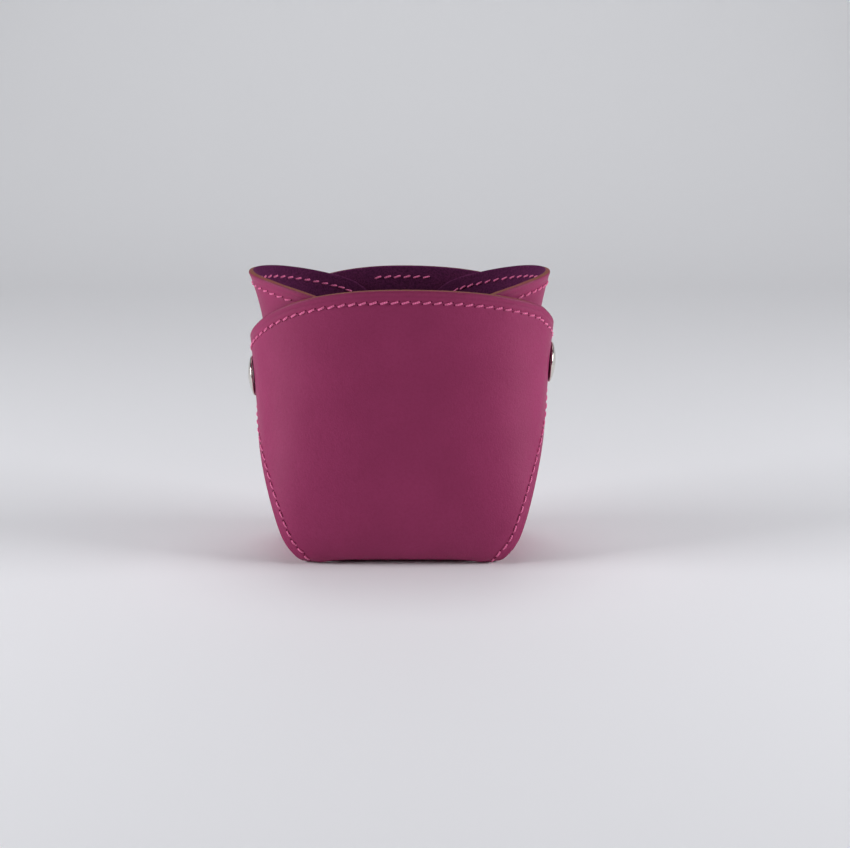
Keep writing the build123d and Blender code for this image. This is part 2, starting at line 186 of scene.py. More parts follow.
def half_depth(z, layer):
    """Half depth at a height: foot + swell (1 - e^(-z / rate)) + flare (z / top)^2 + the layer's growth."""
    swell = SWELL_DEPTH * (1 - np.exp(-z / SWELL_DEPTH_HEIGHT))
    flare = FLARE_DEPTH * (z / FLARE_HEIGHT) ** FLARE_DEPTH_POWER
    return FOOT_HALF_DEPTH + swell + flare + layer[1]


def squareness(z):
    """Power of the plan's super-ellipse, from boxy at the foot to oval at the rim."""
    return RIM_SQUARENESS + (FOOT_SQUARENESS - RIM_SQUARENESS) * np.exp(-z / SQUARENESS_HEIGHT)


def plan(angle, z, layer):
    """Plan of a layer's outside: x = a |cos|^(2/n) and y = b |sin|^(2/n), with their signs."""
    power = 2 / squareness(z)
    cosine = np.cos(angle)
    sine = np.sin(angle)
    x = np.sign(cosine) * np.abs(cosine) ** power * half_width(z, layer)
    y = np.sign(sine) * np.abs(sine) ** power * half_depth(z, layer)
    return x, y


def foot_arch(x):
    """Height that the foot's middle stands off the table: arch (1 - (x / half width)^6)."""
    return FOOT_ARCH * np.clip(1 - (x / FOOT_ARCH_HALF_WIDTH) ** 6, 0, 1)


def leaned(points, side):
    """Points of a side flap with its top leaned out, by lean climb^2 (1 - (y / half depth)^2)."""
    climb = np.clip((points[..., 2] - TOP_LEAN_START) / (SIDE_HEIGHT - TOP_LEAN_START), 0, 1)
    middle = np.clip(1 - (points[..., 1] / TOP_LEAN_HALF_DEPTH) ** 2, 0, 1)
    shift = TOP_LEAN[side] * climb**2 * middle
    return points + shift[..., None] * np.array([1, 0, 0])


def on_layer(spots, layer):
    """Points and outward normals of a layer at (across, rise) spots, at the front right corner.

    The plan angle is bisected until x + y = root 2 across. The normal is the gradient of |x/a|^n + |y/b|^n.
    Below FOLD the hide rolls under in a quarter circle of that radius. The foot arch dies out with rise.
    """
    across = spots[..., 0]
    rise = spots[..., 1]
    turn = np.clip(1 - rise / FOLD, 0, 1) * (math.pi / 2)
    z = np.where(rise < FOLD, FOLD * (1 - np.sin(turn)), rise)
    low = np.full(z.shape, -0.75 * math.pi)
    high = np.full(z.shape, 0.25 * math.pi)
    for _ in range(BISECTIONS):
        middle = (low + high) / 2
        x, y = plan(middle, z, layer)
        short = x + y < across * ROOT_TWO
        low = np.where(short, middle, low)
        high = np.where(short, high, middle)
    x, y = plan((low + high) / 2, z, layer)
    power = squareness(z) - 1
    a = half_width(z, layer)
    b = half_depth(z, layer)
    gx = np.sign(x) * (np.abs(x) / a) ** power / a
    gy = np.sign(y) * (np.abs(y) / b) ** power / b
    lean_width = half_width(z + 0.5, layer) - half_width(z - 0.5, layer)
    lean_depth = half_depth(z + 0.5, layer) - half_depth(z - 0.5, layer)
    gz = -np.abs(gx * x) * lean_width / a - np.abs(gy * y) * lean_depth / b
    flat = np.sqrt(gx**2 + gy**2)
    inward = FOLD * (1 - np.cos(turn))
    arch = foot_arch(x) * np.clip(1 - rise / FOOT_ARCH_RISE, 0, 1) ** 2
    points = np.stack([x - gx / flat * inward, y - gy / flat * inward, z + arch], axis=-1)
    upright = np.stack([gx, gy, gz], axis=-1)
    upright /= np.linalg.norm(upright, axis=-1, keepdims=True)
    normals = upright * np.cos(turn)[..., None] - np.array([0, 0, 1]) * np.sin(turn)[..., None]
    normals /= np.linalg.norm(normals, axis=-1, keepdims=True)
    return points, normals


def shares_along(curve, shares):
    """Points of a polyline at shares of its length."""
    steps = np.linalg.norm(np.diff(curve, axis=0), axis=1)
    length = np.concatenate([[0], np.cumsum(steps)])
    wanted = np.asarray(shares) * length[-1]
    return np.stack([np.interp(wanted, length, curve[:, k]) for k in range(curve.shape[1])], axis=-1)


def level_bow(start, end, count=120):
    """Circular arc that leaves start level and ends at end."""
    run = end[0] - start[0]
    drop = start[1] - end[1]
    radius = (run**2 + drop**2) / (2 * drop)
    angle = np.linspace(0, math.atan2(run, radius - drop), count)
    return np.stack([start[0] + radius * np.sin(angle), start[1] - radius * (1 - np.cos(angle))], axis=-1)


def hollow_arc(start, end, radius, count=120):
    """Arc of a radius from start to end that bows to the left of the way from start to end."""
    start = np.asarray(start)
    end = np.asarray(end)
    middle = (start + end) / 2
    half = (end - start) / 2
    reach = np.linalg.norm(half)
    left = np.array([-half[1], half[0]]) / reach
    centre = middle - left * math.sqrt(radius**2 - reach**2)
    sweep = math.asin(reach / radius)
    angle = np.linspace(sweep, -sweep, count)[:, None]
    return centre + radius * (left * np.cos(angle) - half / reach * np.sin(angle))


def wing_outline(layer, top_height, side):
    """Sides of half a front flap: root line, lower edge, tip and top edge, all in across and rise.

    The lower edge is a hollow arc whose foot turns in by FOOT_ROUND_IN (1 - rise / FOOT_ROUND)^2.
    """
    snap_height = SNAP_HEIGHTS[side]
    tip = np.array([half_width(snap_height, layer) / ROOT_TWO, snap_height])
    angle = np.radians(np.linspace(TIP_BOTTOM_ANGLE, TIP_TOP_ANGLE, 160))
    round_tip = tip + np.stack([TIP_REACH / ROOT_TWO * np.cos(angle), TIP_RADIUS * np.sin(angle)], axis=-1)
    crown = (-half_depth(top_height, layer) / ROOT_TWO, top_height)
    power = squareness(0)
    fullness = (1 - (FRONT_ROOT_HALF_WIDTH / half_width(0, layer)) ** power) ** (1 / power)
    root_end = ((FRONT_ROOT_HALF_WIDTH - half_depth(0, layer) * fullness) / ROOT_TWO, 0.0)
    shoulder = (SHOULDER_ACROSS, snap_height + SHOULDER_RISE)
    rises = np.linspace(0, top_height, 160)
    lower = hollow_arc(root_end, round_tip[0], EDGE_RADII[side])
    lower[:, 0] -= FOOT_ROUND_IN * np.clip(1 - lower[:, 1] / FOOT_ROUND, 0, 1) ** 2
    return {
        "root": np.array([(-half_depth(0, layer) / ROOT_TWO, 0.0), lower[0]]),
        "lower": lower,
        "end": round_tip,
        "top": np.concatenate([level_bow(crown, shoulder), round_tip[-1:]]),
        "middle": np.stack([-half_depth(rises, layer) / ROOT_TWO, rises], axis=-1),
    }


def rounded_corner(before, corner, after, radius, count=40):
    """Arc of a radius that rounds a corner between two straight runs."""
    first = (before - corner) / np.linalg.norm(before - corner)
    second = (after - corner) / np.linalg.norm(after - corner)
    half = math.acos(float(np.dot(first, second))) / 2
    middle = (first + second) / np.linalg.norm(first + second)
    centre = corner + middle * radius / math.sin(half)
    square = first - middle * np.dot(first, middle)
    square /= np.linalg.norm(square)
    angle = np.linspace(math.pi / 2 - half, half - math.pi / 2, count)[:, None]
    return centre + radius * (square * np.sin(angle) - middle * np.cos(angle))


def side_outline():
    """Sides of half a side flap: root line, lower edge, end and top edge, all in across and rise."""
    layer = SIDE_LAYER
    crown = np.array([half_width(SIDE_HEIGHT, layer) / ROOT_TWO, SIDE_HEIGHT])
    end = (SIDE_END - half_depth(SIDE_HEIGHT, layer)) / ROOT_TWO
    power = squareness(0)
    fullness = (1 - (SIDE_ROOT_HALF_DEPTH / half_depth(0, layer)) ** power) ** (1 / power)
    root_end = np.array([(FOOT_HALF_WIDTH * fullness - SIDE_ROOT_HALF_DEPTH) / ROOT_TWO, 0.0])
    bow = level_bow(crown, (end, SIDE_HEIGHT - SIDE_TOP_DROP))
    upper = bow[-1]
    lower = np.array([end, SIDE_END_HEIGHT])
    top_round = rounded_corner(bow[-30], upper, lower, SIDE_CORNER_RADIUS)
    low_round = rounded_corner(upper, lower, root_end, SIDE_CORNER_RADIUS)
    kept_bow = bow[bow[:, 0] > top_round[0, 0]]
    half = len(top_round) // 2
    rises = np.linspace(0, SIDE_HEIGHT, 160)
    return {
        "root": np.array([(half_width(0, layer) / ROOT_TWO, 0.0), root_end]),
        "lower": np.concatenate([root_end[None], low_round[half:][::-1]]),
        "end": np.concatenate([low_round[: half + 1][::-1], top_round[half:][::-1]]),
        "top": np.concatenate([kept_bow, top_round[: half + 1]]),
        "middle": np.stack([half_width(rises, layer) / ROOT_TWO, rises], axis=-1),
    }


def closer_towards_edges(length, count, both):
    """Shares of a run, close together near its far edge, or near both, where the arris and stitches are."""
    near = np.concatenate([[0, 0.15, 0.3, 0.45], np.arange(0.75, 5.0, 0.3), [5.5, 6.5, 8.0, 10.0]]) / length
    start = near[-1] if both else 0.0
    middle = np.linspace(start, 1 - near[-1], count)
    head = near[:-1] if both else near[:0]
    return np.concatenate([head, middle, 1 - near[:-1][::-1]])


def patch(outline, root_share, across_steps, rise_steps):
    """Coons patch of an outline as (across, rise) spots, in columns from the middle line to the end."""
    root_count = int(across_steps * root_share)
    root_u = np.linspace(0, root_share, root_count, endpoint=False)
    edge_u = closer_towards_edges(60, across_steps - root_count, False)
    u = np.concatenate([root_u, root_share + (1 - root_share) * edge_u])
    v = closer_towards_edges(70, rise_steps, True)
    root = shares_along(outline["root"], root_u / root_share)
    bottom = np.concatenate([root, shares_along(outline["lower"], edge_u)])
    top = shares_along(outline["top"], u)
    left = shares_along(outline["middle"], v)
    right = shares_along(outline["end"], v)
    uu = u[:, None, None]
    vv = v[None, :, None]
    sheet = (1 - vv) * bottom[:, None] + vv * top[:, None] + (1 - uu) * left[None] + uu * right[None]
    low = (1 - uu) * bottom[0] + uu * bottom[-1]
    high = (1 - uu) * top[0] + uu * top[-1]
    return sheet - (1 - vv) * low - vv * high


def free_edge(outline):
    """Free edge of an outline in order, from the foot round the end to the crown."""
    return np.concatenate([outline["lower"], outline["end"][1:], outline["top"][::-1][1:]])


def nearest(points, edge):
    """Distance from each point of a grid to the nearest point of a closely sampled edge."""
    flat = points.reshape(-1, 3)
    square = (flat**2).sum(1)[:, None] + (edge**2).sum(1)[None] - 2 * flat @ edge.T
    return np.sqrt(np.maximum(square.min(axis=1), 0)).reshape(points.shape[:-1])


def mesh_object(name, points, faces, materials, face_materials=None, smooth_angle=50):
    """Mesh piece from points in millimetres, with its shading split at angles over smooth_angle."""
    data = bpy.data.meshes.new(name)
    data.from_pydata((np.asarray(points) * MM).tolist(), [], faces)
    for material in materials:
        data.materials.append(material)
    if face_materials is not None:
        data.polygons.foreach_set("material_index", np.asarray(face_materials, dtype=np.int32))
    data.polygons.foreach_set("use_smooth", np.ones(len(data.polygons), dtype=bool))
    data.set_sharp_from_angle(angle=math.radians(smooth_angle))
    data.update()
    piece = bpy.data.objects.new(name, data)
    bpy.context.scene.collection.objects.link(piece)
    return piece


def add_attribute(piece, name, values):
    """Number on every vertex of a piece, for its material."""
    attribute = piece.data.attributes.new(name, "FLOAT", "POINT")
    attribute.data.foreach_set("value", np.asarray(values, dtype=np.float32).ravel())


def grid_faces(columns, rows, start=0):
    """Quads of a grid whose point (i, j) has the number start + i rows + j."""
    number = start + np.arange(columns * rows).reshape(columns, rows)
    corners = [number[:-1, :-1], number[1:, :-1], number[1:, 1:], number[:-1, 1:]]
    return np.stack([corner.ravel() for corner in corners], axis=-1)


def border(columns, rows):
    """Numbers of a grid's border points, once round."""
    number = np.arange(columns * rows).reshape(columns, rows)
    return np.concatenate([number[:-1, 0], number[-1, :-1], number[:0:-1, -1], number[0, :0:-1]])


def hide_piece(name, points, normals, rim, materials, flipped, hollow=0.0):
    """Closed piece of hide: the grain side, the flesh side one leather below it, and the cut edge between.

    Within ARRIS of a free edge both sides round off by r - sqrt(r^2 - (r - d)^2), d from the edge. The
    creaser's line is sunk s (1 - (d / w)^2)^2, d from CREASE_INSET, and the stitch channel likewise. A
    hollow adds to the drop of the grain side alone.
    """
    columns, rows = rim.shape
    close = np.clip(ARRIS - rim, 0, ARRIS)
    drop = (ARRIS - np.sqrt(ARRIS**2 - close**2))[..., None]
    crease = CREASE_SUNK * np.clip(1 - ((rim - CREASE_INSET) / CREASE_HALF_WIDTH) ** 2, 0, 1) ** 2
    channel = CHANNEL_SUNK * np.clip(1 - ((rim - STITCH_INSET) / CHANNEL_HALF_WIDTH) ** 2, 0, 1) ** 2
    grain = points - normals * (drop + (crease + channel + hollow)[..., None])
    flesh = points - normals * (LEATHER - drop)
    loop = border(columns, rows)
    count = columns * rows
    grain_flat = grain.reshape(-1, 3)
    flesh_flat = flesh.reshape(-1, 3)
    shares = np.array([1 / 3, 2 / 3])[:, None, None]
    between = grain_flat[loop] * (1 - shares) + flesh_flat[loop] * shares
    everything = np.concatenate([grain_flat, flesh_flat, between.reshape(-1, 3)])
    first_between = 2 * count + np.arange(len(loop))
    rings = [loop, first_between, first_between + len(loop), count + loop]
    outside = grid_faces(columns, rows)
    inside = grid_faces(columns, rows, count)[:, ::-1]
    strips = []
    for upper, lower in zip(rings, rings[1:]):
        strips.append(np.stack([upper, lower, np.roll(lower, -1), np.roll(upper, -1)], axis=-1))
    strip = np.concatenate(strips)
    faces = np.concatenate([outside, inside, strip])
    if flipped:
        faces = faces[:, ::-1]
    kinds = np.concatenate([np.zeros(len(outside)), np.ones(len(inside)), np.full(len(strip), 2)])
    piece = mesh_object(name, everything, faces.tolist(), materials, kinds)
    edge_rim = np.zeros(2 * len(loop))
    add_attribute(piece, "rim", np.concatenate([rim.ravel(), rim.ravel(), edge_rim]))
    return piece


def flap_half(outline, layer, root_share, across_steps=92, rise_steps=56):
    """Points, normals and distance to the free edge of half a flap at the front right corner."""
    points, normals = on_layer(patch(outline, root_share, across_steps, rise_steps), layer)
    edge, _ = on_layer(shares_along(free_edge(outline), np.linspace(0, 1, EDGE_SAMPLES)), layer)
    return points, normals, nearest(points, edge)


def stud_hollow(points, place, facing):
    """Depth of the round hollow that a stud's flange is pressed into, less a smooth step of the radius."""
    from_seat = points - place
    radius = np.linalg.norm(from_seat - (from_seat @ facing)[..., None] * facing, axis=-1)
    step = np.clip((radius - FLANGE_RADIUS) / HOLLOW_EDGE, 0, 1)
    return HOLLOW_DEPTH * (1 - step**2 * (3 - 2 * step))


def snap_seat(side):
    """Point on the outside of a wing where its press stud is, and the way it faces."""
    height = SNAP_HEIGHTS[side]
    spot = np.array([half_width(height, FRONT_LAYER) / ROOT_TWO, height])
    place, facing = on_layer(spot, FRONT_LAYER)
    signs = np.array([SIGNS[side], 1, 1])
    return place * signs, facing * signs


def turned_over(values, signs):
    """Points or normals carried to another corner of the cup by signs on x, y and z."""
    return values * np.array(signs)


def joined(first, second):
    """Two halves of a flap as one grid that shares the middle line, the first one reversed."""
    return tuple(np.concatenate([one[:0:-1], two]) for one, two in zip(first, second))


def stitch_seats(outline, layer, turn, lowest):
    """Middles, directions and outward normals of the stitches of half a flap, from the crown to the foot.

    The seam lies one inset in from the free edge, turn saying on which side. Stitch k is (k + 1/2) pitches
    along it, down to a lowest height.
    """
    edge, out = on_layer(shares_along(free_edge(outline)[::-1], np.linspace(0, 1, SEAM_SAMPLES)), layer)
    along = np.gradient(edge, axis=0)
    along /= np.linalg.norm(along, axis=1, keepdims=True)
    inset = edge + np.cross(out, along) * turn * STITCH_INSET
    seam = np.stack([(inset[:, 0] + inset[:, 1]) / ROOT_TWO, inset[:, 2]], axis=-1)
    points, _ = on_layer(seam, layer)
    length = np.concatenate([[0], np.cumsum(np.linalg.norm(np.diff(points, axis=0), axis=1))])
    wanted = np.arange(STITCH_PITCH / 2, length[-1], STITCH_PITCH)
    before, seats, after = (
        on_layer(np.stack([np.interp(wanted + step, length, seam[:, k]) for k in (0, 1)], axis=-1), layer)
        for step in (-0.6, 0.0, 0.6)
    )
    out = seats[1]
    along = after[0] - before[0]
    along -= out * (along * out).sum(1, keepdims=True)
    along /= np.maximum(np.linalg.norm(along, axis=1, keepdims=True), 1e-6)
    kept = seats[0][:, 2] > lowest
    return seats[0][kept], along[kept], out[kept]


def carried(seats, signs, kept=slice(None)):
    """Chosen stitch seats carried to another corner of the cup by signs on x, y and z."""
    return tuple(turned_over(values[kept], signs) for values in seats)


def flesh_seats(seats):
    """Seats of the same stitches on the flesh side."""
    middles, along, out = seats
    return middles - out * LEATHER, along, -out


def covered(middles, along, outline):
    """Which stitches touch the area of another flap's outline, by counting sides crossed to the right."""
    loop = np.concatenate([outline["root"], free_edge(outline), outline["middle"][::-1]])
    ahead = np.roll(loop, -1, axis=0)
    touched = np.zeros(len(middles), dtype=bool)
    for share in (-0.8, 0.0, 0.8):
        ends = middles + along * (STITCH_LENGTH * share)
        across = ((ends[:, 0] + ends[:, 1]) / ROOT_TWO)[:, None]
        rise = ends[:, 2][:, None]
        passes = (loop[:, 1] > rise) != (ahead[:, 1] > rise)
        level = np.where(ahead[:, 1] == loop[:, 1], 1.0, ahead[:, 1] - loop[:, 1])
        crossing = loop[:, 0] + (rise - loop[:, 1]) / level * (ahead[:, 0] - loop[:, 0])
        touched |= (passes & (across < crossing)).sum(axis=1) % 2 == 1
    return touched


def stitches(name, runs):
    """Waxed thread stitches: elliptical tubes that rise from one hole and dive into the next.

    At t from -1 to 1 along a stitch its middle is lift - dive |t|^3 above the hide, and its half width is
    w (1 - 0.3 t^4). The ends close on a point, and "ply" holds pitch along and turn round for the twist.
    A stitch leans from the run of its seam, by less where the seam climbs. A plug at each end, coloured with
    painted shade, stands in for its hole.
    """
    middles, along, out = (np.concatenate(parts) for parts in zip(*runs))
    slant = SLANT_LEVEL + (SLANT_UPRIGHT - SLANT_LEVEL) * np.abs(along[:, 2:])
    aside = np.cross(out, along)
    heading = along * np.cos(slant) + aside * np.sin(slant)
    aside = aside * np.cos(slant) - along * np.sin(slant)
    rings = THREAD_RINGS
    sides = THREAD_SIDES
    t = np.linspace(-1, 1, rings)
    turn = np.arange(sides) * (2 * math.pi / sides)
    lift = THREAD_LIFT - THREAD_DIVE * np.abs(t) ** 3
    slimming = (1 - 0.3 * t**4)[:, None]
    x = np.broadcast_to((t * STITCH_LENGTH / 2)[:, None], (rings, sides))
    y = THREAD_HALF_WIDTH * slimming * np.cos(turn)
    z = lift[:, None] + THREAD_HALF_HEIGHT * slimming * np.sin(turn)
    reach = STITCH_LENGTH / 2 + THREAD_TIP
    tips = np.array([[-reach, 0, lift[0]], [reach, 0, lift[-1]]])
    hole = np.stack([np.cos(turn), np.sin(turn), np.zeros(sides)], axis=-1) * HOLE_RADIUS
    holes = [hole + np.array([end * HOLE_PLACE, 0, -down]) for end in (-1, 1) for down in (0, HOLE_DEPTH)]
    local = np.concatenate([np.stack([x, y, z], axis=-1).reshape(-1, 3), tips, *holes])
    basis = np.stack([heading, aside, out], axis=1)
    points = middles[:, None] + np.einsum("pk,nkc->npc", local, basis)
    number = np.arange(rings * sides).reshape(rings, sides)
    after = np.roll(number, -1, axis=1)
    quads = np.stack([number[:-1], number[1:], after[1:], after[:-1]], axis=-1).reshape(-1, 4)[:, ::-1]
    tip = rings * sides
    fans = np.concatenate(
        [
            np.stack([np.full(sides, tip), number[0], after[0]], axis=-1),
            np.stack([np.full(sides, tip + 1), after[-1], number[-1]], axis=-1),
        ]
    )[:, ::-1]
    # Plugs at the holes: a disc at the surface and one deeper, with walls between, all in painted shade.
    plug = tip + 2 + np.arange(4 * sides).reshape(2, 2, sides)
    discs = np.concatenate([plug[:, 0], plug[:, 1, ::-1]])
    beside = np.roll(plug, -1, axis=2)
    walls = np.stack([plug[:, 0], plug[:, 1], beside[:, 1], beside[:, 0]], axis=-1).reshape(-1, 4)
    shift = (np.arange(len(middles)) * len(local))[:, None, None]
    groups = (quads, fans, discs, walls)
    faces = [(corners + shift).reshape(-1, corners.shape[1]).tolist() for corners in groups]
    kinds = np.repeat([0, 0, 1, 1], [len(group) for group in faces])
    piece = mesh_object(name, points.reshape(-1, 3), sum(faces, []), [thread_pink, hole_painted_shade], kinds, 80)
    ring_share = np.repeat(t * 0.5 + 0.5, sides)[quads]
    side_turn = np.tile(np.arange(sides) / sides, rings)[quads]
    side_turn = np.where(side_turn.max(axis=1, keepdims=True) - side_turn > 0.5, side_turn + 1, side_turn)
    quad_ply = np.stack([ring_share * STITCH_LENGTH / PLY_PITCH, side_turn], axis=-1)
    plain = np.zeros(((fans.size + discs.size + walls.size) * len(middles), 2))
    ply = np.concatenate([np.tile(quad_ply.reshape(-1, 2), (len(middles), 1)), plain])
    layer = piece.data.uv_layers.new(name="ply")
    layer.data.foreach_set("uv", ply.astype(np.float32).ravel())
    return piece


def turned(name, profile, place, facing, materials, segments=72):
    """Profile of (radius, height) turned about the line from place along facing, closed at both poles."""
    facing = facing / np.linalg.norm(facing)
    first = np.cross(facing, [0.0, 0.0, 1.0])
    first /= np.linalg.norm(first)
    second = np.cross(facing, first)
    angle = np.arange(segments) * (2 * math.pi / segments)
    circle = first * np.cos(angle)[:, None] + second * np.sin(angle)[:, None]
    profile = np.asarray(profile)
    rings = profile[1:-1]
    points = place + rings[:, 0][:, None, None] * circle + rings[:, 1][:, None, None] * facing
    poles = place + profile[[0, -1], 1][:, None] * facing
    number = np.arange(len(rings) * segments).reshape(len(rings), segments)
    after = np.roll(number, -1, axis=1)
    quads = np.stack([number[:-1], number[1:], after[1:], after[:-1]], axis=-1).reshape(-1, 4)
    pole = len(rings) * segments
    fans = np.concatenate(
        [
            np.stack([np.full(segments, pole), number[0], after[0]], axis=-1),
            np.stack([np.full(segments, pole + 1), after[-1], number[-1]], axis=-1),
        ]
    )
    faces = quads[:, ::-1].tolist() + fans[:, ::-1].tolist()
    everything = np.concatenate([points.reshape(-1, 3), poles])
    return mesh_object(name, everything, faces, materials, smooth_angle=40)


class Value:
    """A shader socket that takes part in sums: each operator adds a Math node."""

    def __init__(self, finish, socket):
        self.finish = finish
        self.socket = socket

    def math(self, operation, first, second):
        return self.finish.add("ShaderNodeMath", {"operation": operation}, {0: first, 1: second})

    def __add__(self, other):
        return self.math("ADD", self, other)

    def __radd__(self, other):
        return self.math("ADD", other, self)

    def __sub__(self, other):
        return self.math("SUBTRACT", self, other)

    def __rsub__(self, other):
        return self.math("SUBTRACT", other, self)

    def __mul__(self, other):
        return self.math("MULTIPLY", self, other)

    def __rmul__(self, other):
        return self.math("MULTIPLY", other, self)


class Finish:
    """A material on one Principled shader, whose other nodes come from add()."""

    def __init__(self, name, **constants):
        self.material = bpy.data.materials.new(name)
        self.material.use_nodes = True
        self.tree = self.material.node_tree
        self.shader = self.tree.nodes["Principled BSDF"]
        for socket, value in constants.items():
            self.shader.inputs[socket.replace("_", " ")].default_value = value

    def feed(self, socket, value):
        if isinstance(value, Value):
            self.tree.links.new(value.socket, socket)
        else:
            socket.default_value = value

    def add(self, kind, settings, sockets, output=0):
        """Node of a kind: its settings first, then its sockets' values or links."""
        node = self.tree.nodes.new(kind)
        for key, value in settings.items():
            setattr(node, key, value)
        for key, value in sockets.items():
            self.feed(node.inputs[key], value)
        return Value(self, node.outputs[output])

    def place(self):
        return self.add("ShaderNodeTexCoord", {}, {}, "Object")

    def part(self, vector, axis):
        """One of a vector's three numbers."""
        return self.add("ShaderNodeSeparateXYZ", {}, {0: vector}, axis)

    def noise(self, size, detail, rough):
        """Noise with lumps about size millimetres across."""
        sockets = {"Vector": self.place(), "Scale": 1 / (size * MM), "Detail": detail, "Roughness": rough}
        return self.add("ShaderNodeTexNoise", {}, sockets)

    def cells(self, size):
        """Distance to the middle of cells about size millimetres across."""
        sockets = {"Vector": self.place(), "Scale": 1 / (size * MM)}
        return self.add("ShaderNodeTexVoronoi", {"feature": "F1"}, sockets, "Distance")

    def blend(self, share, first, second):
        """Colour between two colours by a share."""
        return self.add("ShaderNodeMix", {"data_type": "RGBA"}, {0: share, 6: first, 7: second}, 2)

    def band(self, value, low, high):
        """Smooth step of a value from 0 at low to 1 at high."""
        settings = {"interpolation_type": "SMOOTHSTEP"}
        return self.add("ShaderNodeMapRange", settings, {0: value, 1: low, 2: high, 3: 0.0, 4: 1.0})

    def read(self, name):
        return self.add("ShaderNodeAttribute", {"attribute_name": name}, {}, "Fac")

    def bump(self, height, distance, strength, below=None):
        """Normal of a relief of distance millimetres, over the relief below it."""
        sockets = {"Strength": strength, "Distance": distance * MM, "Height": height}
        if below is not None:
            sockets["Normal"] = below
        return self.add("ShaderNodeBump", {}, sockets)

    def use(self, **sockets):
        for socket, value in sockets.items():
            self.feed(self.shader.inputs[socket.replace("_", " ")], value)
        return self.material


def shade(red, green, blue):
    """Linear colour from an sRGB one of 0 to 255."""
    srgb = np.array([red, green, blue]) / 255
    linear = np.where(srgb <= 0.04045, srgb / 12.92, ((srgb + 0.055) / 1.055) ** 2.4)
    return (*linear.tolist(), 1.0)


def raspberry_grain():
    """Smooth dyed grain side: fine pores, faint mottling, a burnished line where the creaser ran."""
    finish = Finish("raspberry_grain", Specular_IOR_Level=0.25)
    rim = finish.read("rim")
    mottle = finish.noise(16, 4, 0.5)
    speckle = finish.noise(0.9, 3, 0.6)
    pores = finish.cells(0.5)
    dye = finish.blend(finish.band(mottle, 0.3, 0.7), shade(147, 44, 90), shade(153, 48, 95))
    dye = finish.blend(finish.band(speckle, 0.35, 0.75) * 0.3, dye, shade(134, 37, 78))
    edge = 1 - finish.band(rim, 0.1, 0.9)
    dye = finish.blend(edge * 0.4, dye, shade(112, 42, 66))
    from_crease = finish.add("ShaderNodeMath", {"operation": "ABSOLUTE"}, {0: rim - CREASE_INSET})
    line = 1 - finish.band(from_crease, 0.1, 0.45)
    dye = finish.blend(line * 0.15, dye, shade(110, 28, 66))
    rough = 0.46 + mottle * 0.08 + speckle * 0.06 - line * 0.1
    grain = finish.bump(pores, 0.06, 0.7)
    grain = finish.bump(finish.noise(2.0, 4, 0.65), 0.14, 0.45, grain)
    return finish.use(Base_Color=dye, Roughness=rough, Normal=grain)


def plum_suede():
    """Flesh side: dyed suede with a short nap."""
    sheen = {"Sheen_Weight": 0.2, "Sheen_Roughness": 0.5, "Sheen_Tint": shade(190, 90, 160)}
    finish = Finish("plum_suede", Specular_IOR_Level=0.15, **sheen)
    fibre = finish.noise(0.5, 6, 0.7)
    nap = finish.noise(5, 4, 0.6)
    dye = finish.blend(finish.band(fibre, 0.3, 0.7), shade(62, 18, 48), shade(105, 40, 84))
    dye = finish.blend(finish.band(nap, 0.35, 0.65) * 0.35, dye, shade(80, 28, 70))
    return finish.use(Base_Color=dye, Roughness=0.9 + nap * 0.05, Normal=finish.bump(fibre, 0.25, 0.7))


def cut_edge():
    """Raw cut edge: brown fibres with a little dye soaked in."""
    finish = Finish("cut_edge", Specular_IOR_Level=0.3)
    fibre = finish.noise(0.35, 5, 0.7)
    patchy = finish.noise(6, 3, 0.5)
    brown = finish.blend(finish.band(fibre, 0.3, 0.7), shade(112, 60, 50), shade(152, 92, 74))
    brown = finish.blend(finish.band(patchy, 0.4, 0.7) * 0.5, brown, shade(142, 62, 72))
    return finish.use(Base_Color=brown, Roughness=0.75 + fibre * 0.15, Normal=finish.bump(fibre, 0.15, 0.6))


def pink_thread():
    """Waxed two-ply thread: a twist along the stitch, painted paler on the crests of its plies as painted
    highlight and darker between them as painted shade, with fuzz of random tone.
    """
    finish = Finish("pink_thread", Sheen_Weight=0.3, Sheen_Roughness=0.4)
    place = finish.add("ShaderNodeUVMap", {"uv_map": "ply"}, {})
    turn = (finish.part(place, 0) + finish.part(place, 1)) * (4 * math.pi)
    ply = finish.add("ShaderNodeMath", {"operation": "SINE"}, {0: turn}) * 0.5 + 0.5
    fuzz = finish.noise(0.25, 3, 0.6)
    # Painted highlight and shade: the colour follows the ply's bump, paler on its crests and darker in its
    # grooves; the fuzz is random tone.
    pink = finish.blend(ply * 0.6 + fuzz * 0.4, shade(215, 70, 132), shade(250, 128, 178))
    return finish.use(Base_Color=pink, Roughness=0.5 + fuzz * 0.15, Normal=finish.bump(ply, 0.12, 0.8))


def needle_hole_painted_shade():
    """Painted shade of a needle hole: dark plum colour standing in for the shade down the hole."""
    finish = Finish("needle_hole_painted_shade", Specular_IOR_Level=0.1, Roughness=0.9)
    depth = finish.noise(0.3, 3, 0.6)
    # Painted shade: two dark plum tones mixed by noise, for the shade in the hole.
    return finish.use(Base_Color=finish.blend(depth, shade(78, 18, 44), shade(108, 30, 62)))


def nickel():
    """Polished nickel with fine handling marks."""
    finish = Finish("nickel", Metallic=1.0, Base_Color=(0.70, 0.66, 0.60, 1.0))
    marks = finish.noise(0.8, 5, 0.7)
    rough = 0.14 + finish.band(marks, 0.4, 0.75) * 0.12
    return finish.use(Roughness=rough, Normal=finish.bump(marks, 0.02, 0.3))


def plated_steel():
    """Nickel plated steel of the hidden press stud pieces."""
    finish = Finish("plated_steel", Metallic=1.0, Base_Color=(0.60, 0.57, 0.52, 1.0))
    marks = finish.noise(0.5, 4, 0.6)
    return finish.use(Roughness=0.26 + marks * 0.12, Normal=finish.bump(marks, 0.02, 0.3))


